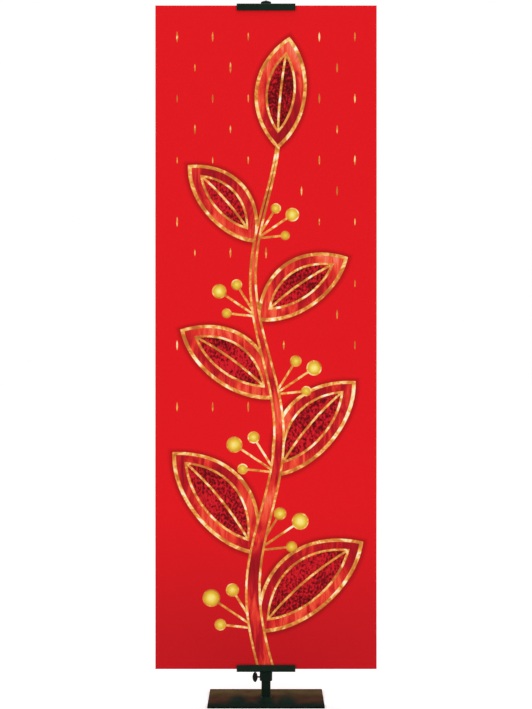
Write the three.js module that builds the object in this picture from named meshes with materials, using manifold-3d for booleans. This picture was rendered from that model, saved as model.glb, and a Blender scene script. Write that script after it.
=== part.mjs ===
// A tall printed cloth banner on a floor stand. The banner is one flat hemmed sheet, gripped at
// the middle of its top and bottom edges in two folded steel channels. The channels are carried by
// a cap and a sliding collar on a round pole, which rises from a flat steel base plate.
// Millimetres, +Z up. The front of the banner faces -Y, and the origin lies on the floor under the
// middle of the base plate.
import * as THREE from "three";
import { mergeVertices } from "three/addons/utils/BufferGeometryUtils.js";
import Module from "manifold-3d";

const wasm = await Module();
wasm.setup();

// Driving dimensions
const FIT_GAP = 0.3; // clearance between neighbouring pieces
const ROUND_STEPS = 40; // sides of a round piece
const MERGE_DISTANCE = 1e-4; // points closer than this are one point
const QUARTER = Math.PI / 2; // a quarter turn

const CLOTH_WIDTH = 610;
const CLOTH_DROP = 1829;
const CLOTH_THICKNESS = 1.2;
const HEM_THICKNESS = 2.4; // the cloth is folded double at every edge
const SIDE_HEM = 10;
const END_HEM = 26;
const HEM_STEP = 1.6; // the hem thins to the single cloth over this distance
const CLOTH_COLUMNS = 18; // cells between the side hems
const CLOTH_ROWS = 36; // cells between the end hems
const CLOTH_BOTTOM = 90; // height of the lower edge above the floor

const PLATE_WIDTH = 318;
const PLATE_DEPTH = 203;
const PLATE_THICKNESS = 6.35;
const PLATE_CORNER = 3;

const POLE_RADIUS = 12.7;
const POLE_WALL = 1.5;
const WELD_SIZE = 2.4; // fillet where the pole meets the plate
const WELD_HOLLOW = 0.35; // share of its size at the middle of the fillet's hollow
const POLE_PLAY = 0.5; // gap between the pole's end and the floor of the cap's bore

const CHANNEL_LENGTH = 162;
const CHANNEL_HEIGHT = 17.8;
const CHANNEL_WALL = 2;
const CHANNEL_FOLD = 2.6; // outer radius of the two folds
const TOP_GRIP = 14.6; // how far a channel reaches onto the cloth
const BOTTOM_GRIP = 12;

const COLLAR_RADIUS = 17.5;
const COLLAR_LENGTH = 51.4;
const COLLAR_HANG = 36.4; // how far the collar reaches below the cloth
const COLLAR_EDGE = 0.8; // chamfer at the rims of the collar and the cap
const BOSS_WIDTH = 24; // pad that carries a channel's back
const BOSS_HEIGHT = 14;
const BOSS_REACH = 2; // how far the pad stands out from the collar
const BOSS_ROOT = 3; // how far the pad is let into the collar's wall

const CAP_LIFT = 14.6; // height above the cloth at which the cap's side turns into the dome
const CAP_SIDE = 31; // length of the cap's sleeve, which is as wide as the collar
const CAP_NECK = 13.1; // length of the narrower neck between the sleeve and the dome
const CAP_NECK_RADIUS = 14.2;
const CAP_CROWN = 1.5; // thickness between the bore's floor and the foot of the dome
const CAP_DOME = 3.4;
const CAP_NUB = 1.8;
const CAP_NUB_RADIUS = 2.2;
const DOME_STEPS = 7;

const SCREW_RISE = 9.4; // height of the screw above the collar's lower rim
const SCREW_RADIUS = 2.5;
const PADDLE_LENGTH = 28;
const PADDLE_WIDTH = 14.5;
const PADDLE_THICKNESS = 6;
const PADDLE_EDGE = 1.6; // rounding of the paddle's rim
const PADDLE_MIDDLE = 30.3; // distance of the paddle's middle from the pole's axis
const PADDLE_ROOT = 3; // how far the shank runs into the paddle

// Shallow swells of the hung cloth. The place of each is a share of the width and of the drop from
// the lower left corner, its spread a share of the same, and its depth is in millimetres, with
// a positive depth bulging to the back.
const SWELLS = [
  { across: 0.1, up: 0.78, wide: 0.11, tall: 0.13, depth: 2.6 },
  { across: 0.28, up: 0.55, wide: 0.09, tall: 0.24, depth: -2.2 },
  { across: 0.93, up: 0.66, wide: 0.1, tall: 0.17, depth: -2.8 },
  { across: 0.74, up: 0.4, wide: 0.1, tall: 0.2, depth: 2.4 },
  { across: 0.06, up: 0.27, wide: 0.1, tall: 0.12, depth: -2.4 },
  { across: 0.95, up: 0.19, wide: 0.11, tall: 0.1, depth: 2.2 },
];
const SWELL_FADE = 0.1; // share of the drop over which a swell dies out at either end

// Sizes that follow from these
const CHANNEL_GAP = HEM_THICKNESS + 2 * FIT_GAP;
const CHANNEL_DEPTH = CHANNEL_GAP + 2 * CHANNEL_WALL;
const CHANNEL_MIDDLE = -(COLLAR_RADIUS + BOSS_REACH + FIT_GAP + CHANNEL_DEPTH / 2);
const CLOTH_TOP = CLOTH_BOTTOM + CLOTH_DROP;
const COLLAR_BORE = POLE_RADIUS + FIT_GAP;
const COLLAR_FOOT = CLOTH_BOTTOM - COLLAR_HANG;
const COLLAR_HEAD = COLLAR_FOOT + COLLAR_LENGTH;
const SCREW_HEIGHT = COLLAR_FOOT + SCREW_RISE;
const CAP_SHOULDER = CLOTH_TOP + CAP_LIFT;
const CAP_STEP = CAP_SHOULDER - CAP_NECK;
const CAP_SKIRT = CAP_STEP - CAP_SIDE;
const CAP_BORE_TOP = CAP_SHOULDER - CAP_CROWN;
const CAP_NUB_TOP = CAP_SHOULDER + CAP_DOME + CAP_NUB;
const POLE_TOP = CAP_BORE_TOP - POLE_PLAY;
const BOTTOM_CHANNEL_MIDDLE = CLOTH_BOTTOM + BOTTOM_GRIP - CHANNEL_HEIGHT / 2;
const TOP_CHANNEL_MIDDLE = CLOTH_TOP - TOP_GRIP + CHANNEL_HEIGHT / 2;

// Finishes, from which each piece gets a material of its own
const clothPrint = { color: 0xe01d23, roughness: 0.75, metalness: 0 };
const plateLacquer = { color: 0x3c3022, roughness: 0.3, metalness: 0.6 };
const blackSteel = { color: 0x18251e, roughness: 0.45, metalness: 0.5 };

// Joining and cutting closed shapes
function solidFrom(geometry) {
  const bare = geometry.clone();
  bare.deleteAttribute("normal");
  bare.deleteAttribute("uv");
  const merged = mergeVertices(bare, MERGE_DISTANCE);
  return new wasm.Manifold(
    new wasm.Mesh({
      numProp: 3,
      vertProperties: merged.attributes.position.array,
      triVerts: new Uint32Array(merged.index.array),
    }),
  );
}

function geometryFrom(solid) {
  const mesh = solid.getMesh();
  const geometry = new THREE.BufferGeometry();
  geometry.setAttribute("position", new THREE.BufferAttribute(new Float32Array(mesh.vertProperties), 3));
  geometry.setIndex(new THREE.BufferAttribute(new Uint32Array(mesh.triVerts), 1));
  geometry.computeVertexNormals();
  return geometry;
}

// A body turned about Z from a closed outline of [radius, height] points, listed so that the
// material lies to the left of the line
function turned(outline) {
  const points = outline.map(([radius, height]) => new THREE.Vector2(radius, height));
  return new THREE.LatheGeometry(points, ROUND_STEPS).rotateX(QUARTER);
}

// A straight round bar along X
function barAlongX(radius, from, to) {
  const bar = new THREE.CylinderGeometry(radius, radius, to - from, ROUND_STEPS / 2);
  return bar.rotateZ(QUARTER).translate((from + to) / 2, 0, 0);
}

function named(name, geometry, finish, place = [0, 0, 0]) {
  const mesh = new THREE.Mesh(geometry, new THREE.MeshStandardMaterial(finish));
  mesh.name = name;
  mesh.position.set(...place);
  return mesh;
}

// The banner's cloth: one sheet with doubled hems and the shallow swells of hung cloth
function smoothRise(share) {
  const t = THREE.MathUtils.clamp(share, 0, 1);
  return t * t * (3 - 2 * t);
}

// Where the cloth is divided along one side: the hem, its step, and even cells between
function stations(length, hem, cells) {
  const inner = length - 2 * (hem + HEM_STEP);
  const between = Array.from({ length: cells + 1 }, (_, i) => hem + HEM_STEP + (inner * i) / cells);
  return [0, hem, ...between, length - hem, length];
}

function swellDepth(across, up) {
  const ends = smoothRise(up / SWELL_FADE) * smoothRise((1 - up) / SWELL_FADE);
  let depth = 0;
  for (const swell of SWELLS) {
    const sideways = (across - swell.across) / swell.wide;
    const upward = (up - swell.up) / swell.tall;
    depth += swell.depth * Math.exp(-sideways * sideways - upward * upward);
  }
  return depth * ends;
}

function clothThickness(x, z) {
  const fromSide = Math.min(x, CLOTH_WIDTH - x) - SIDE_HEM;
  const fromEnd = Math.min(z, CLOTH_DROP - z) - END_HEM;
  const single = smoothRise(fromSide / HEM_STEP) * smoothRise(fromEnd / HEM_STEP);
  return THREE.MathUtils.lerp(HEM_THICKNESS, CLOTH_THICKNESS, single);
}

function bannerCloth() {
  const columns = stations(CLOTH_WIDTH, SIDE_HEM, CLOTH_COLUMNS);
  const rows = stations(CLOTH_DROP, END_HEM, CLOTH_ROWS);
  const across = columns.length - 1;
  const upward = rows.length - 1;
  // An even block whose lines are moved to the stations, in cells of one unit
  const sheet = new THREE.BoxGeometry(across, 2, upward, across, 1, upward);
  const points = sheet.attributes.position;
  for (let i = 0; i < points.count; i++) {
    const x = columns[Math.round(points.getX(i) + across / 2)];
    const z = rows[Math.round(points.getZ(i) + upward / 2)];
    const side = points.getY(i);
    const y = swellDepth(x / CLOTH_WIDTH, z / CLOTH_DROP) + (side * clothThickness(x, z)) / 2;
    points.setXYZ(i, x - CLOTH_WIDTH / 2, y, z);
  }
  return named("banner_cloth", sheet, clothPrint, [0, CHANNEL_MIDDLE, CLOTH_BOTTOM]);
}

// The base: one flat plate lying on the floor
function basePlate() {
  const cornerX = PLATE_WIDTH / 2 - PLATE_CORNER;
  const cornerY = PLATE_DEPTH / 2 - PLATE_CORNER;
  const corners = [
    [1, 1],
    [-1, 1],
    [-1, -1],
    [1, -1],
  ];
  const outline = new THREE.Shape();
  corners.forEach(([sideX, sideY], i) => {
    outline.absarc(sideX * cornerX, sideY * cornerY, PLATE_CORNER, i * QUARTER, (i + 1) * QUARTER);
  });
  const plate = new THREE.ExtrudeGeometry(outline, {
    depth: PLATE_THICKNESS,
    bevelEnabled: false,
    curveSegments: 4,
  });
  return named("base_plate", plate, plateLacquer);
}

// The pole: a round tube that stands on the plate in a ring of weld
function pole() {
  const foot = PLATE_THICKNESS + FIT_GAP;
  const tube = turned([
    [POLE_RADIUS - POLE_WALL, foot],
    [POLE_RADIUS + WELD_SIZE, foot],
    [POLE_RADIUS + WELD_SIZE * WELD_HOLLOW, foot + WELD_SIZE * WELD_HOLLOW],
    [POLE_RADIUS, foot + WELD_SIZE],
    [POLE_RADIUS, POLE_TOP],
    [POLE_RADIUS - POLE_WALL, POLE_TOP],
    [POLE_RADIUS - POLE_WALL, foot],
  ]);
  return named("pole", tube, blackSteel);
}

// A channel folded from sheet steel, open towards +Z, centred on the origin and running along X
function channelGeometry() {
  const halfDepth = CHANNEL_DEPTH / 2;
  const halfHeight = CHANNEL_HEIGHT / 2;
  const halfGap = CHANNEL_GAP / 2;
  const foldMiddle = halfDepth - CHANNEL_FOLD;
  const foldHeight = CHANNEL_FOLD - halfHeight;
  const section = new THREE.Shape();
  section.moveTo(halfDepth, halfHeight);
  section.lineTo(halfGap, halfHeight);
  section.lineTo(halfGap, CHANNEL_WALL - halfHeight);
  section.lineTo(-halfGap, CHANNEL_WALL - halfHeight);
  section.lineTo(-halfGap, halfHeight);
  section.lineTo(-halfDepth, halfHeight);
  section.absarc(-foldMiddle, foldHeight, CHANNEL_FOLD, 2 * QUARTER, 3 * QUARTER);
  section.absarc(foldMiddle, foldHeight, CHANNEL_FOLD, 3 * QUARTER, 4 * QUARTER);
  const bar = new THREE.ExtrudeGeometry(section, {
    depth: CHANNEL_LENGTH,
    bevelEnabled: false,
    curveSegments: 5,
  });
  const sectionToFrame = new THREE.Matrix4().makeBasis(
    new THREE.Vector3(0, 1, 0),
    new THREE.Vector3(0, 0, 1),
    new THREE.Vector3(1, 0, 0),
  );
  return bar.translate(0, 0, -CHANNEL_LENGTH / 2).applyMatrix4(sectionToFrame);
}

function bottomChannel() {
  const place = [0, CHANNEL_MIDDLE, BOTTOM_CHANNEL_MIDDLE];
  return named("bottom_channel", channelGeometry(), blackSteel, place);
}

function topChannel() {
  const place = [0, CHANNEL_MIDDLE, TOP_CHANNEL_MIDDLE];
  const channel = named("top_channel", channelGeometry(), blackSteel, place);
  channel.rotation.y = Math.PI; // the same channel, upside down
  return channel;
}

// The pad on a collar or cap that a channel's back is fixed to
function boss(middle) {
  const front = -(COLLAR_RADIUS + BOSS_REACH);
  const depth = BOSS_REACH + BOSS_ROOT;
  const pad = new THREE.BoxGeometry(BOSS_WIDTH, depth, BOSS_HEIGHT);
  return pad.translate(0, front + depth / 2, middle);
}

// The collar that slides on the pole, with its pad and the hole for the thumb screw
function bottomCollar() {
  const sleeve = turned([
    [COLLAR_BORE, COLLAR_FOOT],
    [COLLAR_RADIUS - COLLAR_EDGE, COLLAR_FOOT],
    [COLLAR_RADIUS, COLLAR_FOOT + COLLAR_EDGE],
    [COLLAR_RADIUS, COLLAR_HEAD - COLLAR_EDGE],
    [COLLAR_RADIUS - COLLAR_EDGE, COLLAR_HEAD],
    [COLLAR_BORE, COLLAR_HEAD],
    [COLLAR_BORE, COLLAR_FOOT],
  ]);
  const screwHole = barAlongX(SCREW_RADIUS + FIT_GAP, -COLLAR_RADIUS * 2, 0).translate(0, 0, SCREW_HEIGHT);
  const collar = solidFrom(sleeve)
    .add(solidFrom(boss(BOTTOM_CHANNEL_MIDDLE)))
    .subtract(solidFrom(screwHole));
  return named("bottom_collar", geometryFrom(collar), blackSteel);
}

// The cap over the pole's upper end: a sleeve with its pad, and a narrower neck under a low dome
function poleCap() {
  const dome = [];
  for (let i = 0; i <= DOME_STEPS; i++) {
    const radius = THREE.MathUtils.lerp(CAP_NECK_RADIUS, CAP_NUB_RADIUS, i / DOME_STEPS);
    const share = radius / CAP_NECK_RADIUS;
    dome.push([radius, CAP_SHOULDER + CAP_DOME * (1 - share * share)]);
  }
  const shell = turned([
    [0, CAP_BORE_TOP],
    [COLLAR_BORE, CAP_BORE_TOP],
    [COLLAR_BORE, CAP_SKIRT],
    [COLLAR_RADIUS - COLLAR_EDGE, CAP_SKIRT],
    [COLLAR_RADIUS, CAP_SKIRT + COLLAR_EDGE],
    [COLLAR_RADIUS, CAP_STEP - COLLAR_EDGE],
    [COLLAR_RADIUS - COLLAR_EDGE, CAP_STEP],
    [CAP_NECK_RADIUS, CAP_STEP],
    ...dome,
    [CAP_NUB_RADIUS, CAP_NUB_TOP - CAP_NUB_RADIUS / 2],
    [CAP_NUB_RADIUS / 2, CAP_NUB_TOP],
    [0, CAP_NUB_TOP],
  ]);
  const cap = solidFrom(shell).add(solidFrom(boss(TOP_CHANNEL_MIDDLE)));
  return named("pole_cap", geometryFrom(cap), blackSteel);
}

// The thumb screw: an oval paddle on a round shank that presses on the pole, turned upright
function thumbScrew() {
  const outline = new THREE.Shape();
  outline.absellipse(0, 0, PADDLE_WIDTH / 2 - PADDLE_EDGE, PADDLE_LENGTH / 2 - PADDLE_EDGE, 0, Math.PI * 2);
  const straight = PADDLE_THICKNESS - 2 * PADDLE_EDGE;
  const paddle = new THREE.ExtrudeGeometry(outline, {
    depth: straight,
    bevelThickness: PADDLE_EDGE,
    bevelSize: PADDLE_EDGE,
    bevelSegments: 3,
    curveSegments: 20,
  });
  paddle.translate(0, 0, -straight / 2).rotateX(QUARTER).translate(-PADDLE_MIDDLE, 0, 0);
  const paddleEnd = PADDLE_MIDDLE - PADDLE_WIDTH / 2;
  const shank = barAlongX(SCREW_RADIUS, -paddleEnd - PADDLE_ROOT, -COLLAR_BORE);
  const screw = solidFrom(paddle).add(solidFrom(shank));
  return named("thumb_screw", geometryFrom(screw), blackSteel, [0, 0, SCREW_HEIGHT]);
}

const stand = new THREE.Group();
stand.add(basePlate(), pole(), poleCap(), topChannel(), bottomCollar(), bottomChannel(), thumbScrew());

const banner = new THREE.Group();
banner.add(stand, bannerCloth());

export default banner;
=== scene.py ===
import math

import bmesh
import bpy
from mathutils import Matrix, Vector


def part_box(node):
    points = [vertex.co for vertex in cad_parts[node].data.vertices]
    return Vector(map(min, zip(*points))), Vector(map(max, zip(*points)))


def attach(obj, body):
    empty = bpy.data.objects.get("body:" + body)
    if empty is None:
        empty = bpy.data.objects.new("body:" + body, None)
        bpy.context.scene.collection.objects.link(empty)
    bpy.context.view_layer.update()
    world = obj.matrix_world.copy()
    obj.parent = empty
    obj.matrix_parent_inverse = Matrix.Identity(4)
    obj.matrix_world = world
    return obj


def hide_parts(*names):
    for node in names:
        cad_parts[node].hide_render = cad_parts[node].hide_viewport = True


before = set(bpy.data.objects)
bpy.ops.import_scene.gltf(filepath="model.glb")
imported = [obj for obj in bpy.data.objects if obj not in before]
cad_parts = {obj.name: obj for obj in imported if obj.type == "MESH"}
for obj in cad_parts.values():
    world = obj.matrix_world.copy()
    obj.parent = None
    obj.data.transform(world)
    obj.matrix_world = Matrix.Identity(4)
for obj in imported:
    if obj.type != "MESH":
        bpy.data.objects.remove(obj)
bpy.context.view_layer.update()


# Base plate. A rectangle of flat steel that lies on the floor and keeps the banner upright. It is
# sawn to size with its corners and edges eased, and sprayed with a dark lacquer whose reflection
# is painted into its colour: bronze-brown towards the back, darker towards the front.
plate_low, plate_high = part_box("base_plate")
PLATE_CORNER = 0.003
PLATE_EDGE = 0.0008
SAME_PLACE = 1e-6


def filling(low, high):
    """The matrix that stretches a unit cube over a box."""
    return Matrix.Translation((low + high) / 2) @ Matrix.Diagonal((*(high - low), 1))


def ease(mesh, edges, radius, segments):
    """Rounds edges of a mesh."""
    bmesh.ops.bevel(
        mesh,
        geom=edges,
        offset=radius,
        offset_type="OFFSET",
        segments=segments,
        profile=0.5,
        affect="EDGES",
        material=-1,
    )


def sharp_edges(mesh, least_angle=math.radians(50)):
    """The edges where two faces of a mesh meet at a sharp angle."""
    return [edge for edge in mesh.edges if edge.calc_face_angle(0) > least_angle]


def finished(mesh, name, materials, body, slot, *nodes):
    """Makes a closed mesh into a smooth-shaded piece of the object, which rides on a body."""
    bmesh.ops.recalc_face_normals(mesh, faces=mesh.faces[:])
    data = bpy.data.meshes.new(name)
    mesh.to_mesh(data)
    mesh.free()
    for material in materials:
        data.materials.append(material)
    data.shade_smooth()
    data.set_sharp_from_angle(angle=math.radians(40))
    piece = bpy.data.objects.new(name, data)
    bpy.context.scene.collection.objects.link(piece)
    piece.modifiers.new("even_shading", "WEIGHTED_NORMAL").keep_sharp = True
    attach(piece, body)
    if nodes:
        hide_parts(*nodes)
    return piece


def ink(red, green, blue):
    """A linear colour from its display values, each from 0 to 255."""

    def linear(value):
        """One linear channel from its display value."""
        share = value / 255
        return share / 12.92 if share <= 0.04045 else ((share + 0.055) / 1.055) ** 2.4

    return (linear(red), linear(green), linear(blue), 1.0)


def add_node(tree, kind, inputs, **settings):
    """A node of a tree, with its settings made and its inputs linked or set by name or number."""
    node = tree.nodes.new(kind)
    for key, value in settings.items():
        setattr(node, key, value)
    for key, value in inputs.items():
        if isinstance(value, bpy.types.NodeSocket):
            tree.links.new(value, node.inputs[key])
        else:
            node.inputs[key].default_value = value
    return node


def figure(tree, operation, *terms):
    """The result of a sum on values of a tree."""
    return add_node(tree, "ShaderNodeMath", dict(enumerate(terms)), operation=operation).outputs[0]


def parts(tree, vector):
    """The X, Y and Z of a vector of a tree."""
    return add_node(tree, "ShaderNodeSeparateXYZ", {"Vector": vector}).outputs


def mapped(tree, vector, **settings):
    """A vector of a tree, shifted, turned or scaled."""
    return add_node(tree, "ShaderNodeMapping", {"Vector": vector, **settings}).outputs[0]


def noise(tree, vector, scale, detail=2.0, roughness=0.5, distortion=0.0):
    """Cloudy values from 0 to 1 on a tree's coordinates, with scale spots to the metre."""
    inputs = {
        "Vector": vector,
        "Scale": scale,
        "Detail": detail,
        "Roughness": roughness,
        "Distortion": distortion,
    }
    return add_node(tree, "ShaderNodeTexNoise", inputs).outputs["Fac"]


def ranged(tree, value, low, high, to_low=0.0, to_high=1.0):
    """A value moved smoothly from one range to another, and held inside it."""
    inputs = {
        "Value": value,
        "From Min": low,
        "From Max": high,
        "To Min": to_low,
        "To Max": to_high,
    }
    return add_node(
        tree, "ShaderNodeMapRange", inputs, interpolation_type="SMOOTHSTEP"
    ).outputs["Result"]


def mixed(tree, factor, first, second, blend_type="MIX"):
    """Two colours of a tree, blended by a factor."""
    inputs = {0: factor, 6: first, 7: second}
    node = add_node(tree, "ShaderNodeMix", inputs, data_type="RGBA", blend_type=blend_type)
    return node.outputs[2]


def new_group(name, inputs, outputs):
    """An empty node group with named sockets, and the ends to wire."""
    group = bpy.data.node_groups.new(name, "ShaderNodeTree")
    for label, kind in inputs.items():
        group.interface.new_socket(label, in_out="INPUT", socket_type="NodeSocket" + kind)
    for label, kind in outputs.items():
        group.interface.new_socket(label, in_out="OUTPUT", socket_type="NodeSocket" + kind)
    start = group.nodes.new("NodeGroupInput").outputs
    end = group.nodes.new("NodeGroupOutput").inputs
    return group, start, end


def placed(tree, group, inputs):
    """The outputs of a node group that is placed in a tree with these inputs."""
    return add_node(tree, "ShaderNodeGroup", inputs, node_tree=group).outputs


def new_material(name, **constants):
    """A material with a Principled shader: its tree, its shader's inputs and its coordinates."""
    material = bpy.data.materials.new(name)
    material.use_nodes = True
    tree = material.node_tree
    shader = tree.nodes["Principled BSDF"]
    for label, value in constants.items():
        shader.inputs[label.replace("_", " ")].default_value = value
    point = tree.nodes.new("ShaderNodeTexCoord").outputs["Object"]
    return material, tree, shader.inputs, point


def bumped(tree, height, strength, distance):
    """The normal of a surface that is raised by a height from 0 to 1 over a distance."""
    inputs = {"Height": height, "Strength": strength, "Distance": distance}
    return add_node(tree, "ShaderNodeBump", inputs).outputs["Normal"]


# Sprayed finish, for every painted piece: the fine pebbled skin of dried paint, with slow changes of
# shine and depth of colour.
spray_group, spray_in, spray_out = new_group(
    "sprayed_skin",
    {"Vector": "Vector", "Pebbles": "Float", "Dull": "Float", "Bright": "Float"},
    {"Depth": "Float", "Roughness": "Float", "Height": "Float"},
)
clouds = noise(spray_group, spray_in["Vector"], 22.0, detail=3.0)
specks = noise(spray_group, spray_in["Vector"], spray_in["Pebbles"], detail=1.0)
depth = ranged(spray_group, clouds, 0.3, 0.7, 0.82, 1.12)
shine = add_node(
    spray_group,
    "ShaderNodeMapRange",
    {
        "Value": clouds,
        "From Min": 0.3,
        "From Max": 0.7,
        "To Min": spray_in["Bright"],
        "To Max": spray_in["Dull"],
    },
).outputs["Result"]
spray_group.links.new(depth, spray_out["Depth"])
spray_group.links.new(shine, spray_out["Roughness"])
spray_group.links.new(specks, spray_out["Height"])

# The lacquer's colours. The back and middle ones are a painted reflection, fading forward into the
# lacquer's own dark
PAINTED_REFLECTION_BACK = ink(82, 68, 42)
PAINTED_REFLECTION_MIDDLE = ink(62, 39, 28)
LACQUER_FRONT = ink(20, 33, 27)
LACQUER_SPECK = ink(76, 50, 40)
BACK_EDGE_SHADE = ink(38, 24, 14)
SIDE_SHADE = ink(9, 16, 12)
# Painted reflections: dark bands over the plate, one straight in front of the pole and one to either
# side
REFLECTED_DARK_BANDS = [-0.078, 0.0, 0.056]  # where the dark of the front reaches back over the plate
lacquer, tree, shader, point = new_material("dark_lacquer_painted_reflection", Specular_IOR_Level=0.0002)
skin = placed(
    tree, spray_group, {"Vector": point, "Pebbles": 700.0, "Dull": 0.36, "Bright": 0.26}
)
place = parts(tree, point)
patches = noise(tree, mapped(tree, point, Scale=(1.0, 0.35, 1.0)), 30.0, detail=3.0)
reach = figure(tree, "MULTIPLY_ADD", patches, 0.08, place["Y"])
reach = figure(tree, "SUBTRACT", reach, 0.04)
to_middle = ranged(tree, reach, plate_high.y * 0.7, plate_high.y * -0.1)
to_front = ranged(tree, reach, plate_high.y * -0.35, plate_high.y * -0.9)
widening = ranged(tree, place["Y"], plate_high.y, plate_low.y, 0.004, 0.032)
# Painted reflections, narrow at the back and widening towards the front
for band in REFLECTED_DARK_BANDS:
    apart = figure(tree, "ABSOLUTE", figure(tree, "SUBTRACT", place["X"], band))
    near = ranged(tree, figure(tree, "SUBTRACT", apart, widening), 0.016, -0.016)
    forward = ranged(tree, reach, plate_high.y * 1.1, plate_high.y * -0.4)
    dark = figure(tree, "MULTIPLY", near, forward)
    to_front = figure(tree, "MAXIMUM", to_front, dark)
# Painted reflection: lighter mottled brown at the back, fading through the middle tone to the dark at
# the front
brown = mixed(tree, ranged(tree, patches, 0.5, 0.75), PAINTED_REFLECTION_BACK, LACQUER_SPECK)
brown = mixed(tree, to_middle, brown, PAINTED_REFLECTION_MIDDLE)
brown = mixed(tree, to_front, brown, LACQUER_FRONT)
# Painted shade: a thin dark line along the plate's back edge, broken up by the patches
painted_edge_shade = ranged(tree, place["Y"], plate_high.y - 0.016, plate_high.y - 0.004)
painted_edge_shade = figure(tree, "MULTIPLY", painted_edge_shade, ranged(tree, patches, 0.7, 0.35))
brown = mixed(tree, painted_edge_shade, brown, BACK_EDGE_SHADE)
# Painted shade: the plate's sides much darker than its top, from just under the top's eased edge
painted_side_shade = ranged(tree, place["Z"], plate_high.z - PLATE_EDGE, plate_high.z / 2)
brown = mixed(tree, painted_side_shade, brown, SIDE_SHADE)
brown = mixed(tree, 1.0, brown, skin["Depth"], "MULTIPLY")
tree.links.new(brown, shader["Base Color"])
tree.links.new(skin["Roughness"], shader["Roughness"])
tree.links.new(bumped(tree, skin["Height"], 0.12, 0.0002), shader["Normal"])

plate = bmesh.new()
bmesh.ops.create_cube(plate, size=1.0, matrix=filling(plate_low, plate_high))
corners = [edge for edge in plate.edges if abs(edge.verts[0].co.z - edge.verts[1].co.z) > SAME_PLACE]
ease(plate, corners, PLATE_CORNER, 6)
ease(plate, sharp_edges(plate), PLATE_EDGE, 3)
finished(plate, "base_plate_steel", [lacquer], "stand", "base_lacquer", "base_plate")


# Pole. A plain round steel tube, painted satin black, that stands on the middle of the plate. A
# ring of weld bead holds it there, with the small ripples that the welder's hand leaves.
pole_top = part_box("pole")[1].z
POLE_RADIUS = 0.0127
POLE_WALL = 0.0015
POLE_STEPS = 72
BEAD_RADIUS = 0.0024
BEAD_RIPPLES = 34
BEAD_RIPPLE = 0.00022


def turned(outline, steps, closed=True):
    """A round body spun about Z from an outline of (radius, height) points."""
    mesh = bmesh.new()
    points = [mesh.verts.new((radius, 0, height)) for radius, height in outline]
    pairs = list(zip(points, points[1:] + points[:1])) if closed else list(zip(points, points[1:]))
    edges = [mesh.edges.new(pair) for pair in pairs]
    bmesh.ops.spin(
        mesh,
        geom=points + edges,
        cent=(0, 0, 0),
        axis=(0, 0, 1),
        dvec=(0, 0, 0),
        angle=2 * math.pi,
        steps=steps,
        use_merge=True,
        use_duplicate=False,
    )
    bmesh.ops.remove_doubles(mesh, verts=mesh.verts[:], dist=SAME_PLACE)
    return mesh


def arc(middle, radius, start, end, steps):
    """Points round a circle in an outline, between two angles in degrees."""
    angles = [math.radians(start + (end - start) * i / steps) for i in range(steps + 1)]
    return [
        (middle[0] + radius * math.cos(angle), middle[1] + radius * math.sin(angle))
        for angle in angles
    ]


def sprayed_black(name, colour, gloss, pebbles, dull, bright, strength, distance):
    """A black finish of one colour, with pebbles to the metre and a roughness from dull to bright."""
    material, tree, shader, point = new_material(name, Specular_IOR_Level=gloss)
    inputs = {"Vector": point, "Pebbles": pebbles, "Dull": dull, "Bright": bright}
    skin = placed(tree, spray_group, inputs)
    tree.links.new(mixed(tree, 1.0, colour, skin["Depth"], "MULTIPLY"), shader["Base Color"])
    tree.links.new(skin["Roughness"], shader["Roughness"])
    tree.links.new(bumped(tree, skin["Height"], strength, distance), shader["Normal"])
    return material


black_paint = sprayed_black(
    "satin_black_paint",
    ink(17, 33, 24),
    gloss=0.05,
    pebbles=1400.0,
    dull=0.5,
    bright=0.38,
    strength=0.15,
    distance=0.0002,
)

pole = turned(
    [
        (POLE_RADIUS - POLE_WALL, plate_high.z),
        (POLE_RADIUS, plate_high.z),
        (POLE_RADIUS, pole_top),
        (POLE_RADIUS - POLE_WALL, pole_top),
    ],
    POLE_STEPS,
)
finished(pole, "pole_tube", [black_paint], "stand", "black_paint", "pole")

bead_foot = (POLE_RADIUS - POLE_WALL / 2, plate_high.z)
bead = turned(
    [bead_foot]
    + arc((POLE_RADIUS, plate_high.z), BEAD_RADIUS, 0, 90, 6)
    + [(bead_foot[0], plate_high.z + BEAD_RADIUS)],
    BEAD_RIPPLES * 6,
)
for corner in bead.verts:
    around = math.atan2(corner.co.y, corner.co.x)
    outward = Vector((corner.co.x, corner.co.y, 0)).normalized()
    beyond = max(0.0, corner.co.xy.length - POLE_RADIUS) / BEAD_RADIUS
    ripple = math.sin(BEAD_RIPPLES * around + 0.7 * math.sin(5 * around))
    corner.co += outward * (BEAD_RIPPLE * beyond * ripple)
finished(bead, "pole_weld_bead", [black_paint], "stand", "black_paint")


# Sliding collar. A short thick-walled steel sleeve on the pole with its rims turned round, and a
# flat pad welded to its front that the lower channel is fixed to. The thumb screw passes through
# its left wall and holds it where it keeps the cloth taut.
collar_low, collar_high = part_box("bottom_collar")
COLLAR_RADIUS = collar_high.x
SLIDE_GAP = 0.0003
COLLAR_BORE = POLE_RADIUS + SLIDE_GAP
RIM_ROUND = 0.0008
PAD_WIDTH = 0.024
PAD_HEIGHT = 0.014
PAD_ROOT = 0.003
PAD_EDGE = 0.0008

collar = turned(
    [(COLLAR_BORE, collar_low.z)]
    + arc((COLLAR_RADIUS - RIM_ROUND, collar_low.z + RIM_ROUND), RIM_ROUND, -90, 0, 4)
    + arc((COLLAR_RADIUS - RIM_ROUND, collar_high.z - RIM_ROUND), RIM_ROUND, 0, 90, 4)
    + [(COLLAR_BORE, collar_high.z)],
    POLE_STEPS,
)
finished(collar, "collar_sleeve", [black_paint], "stand", "black_paint", "bottom_collar")


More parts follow.
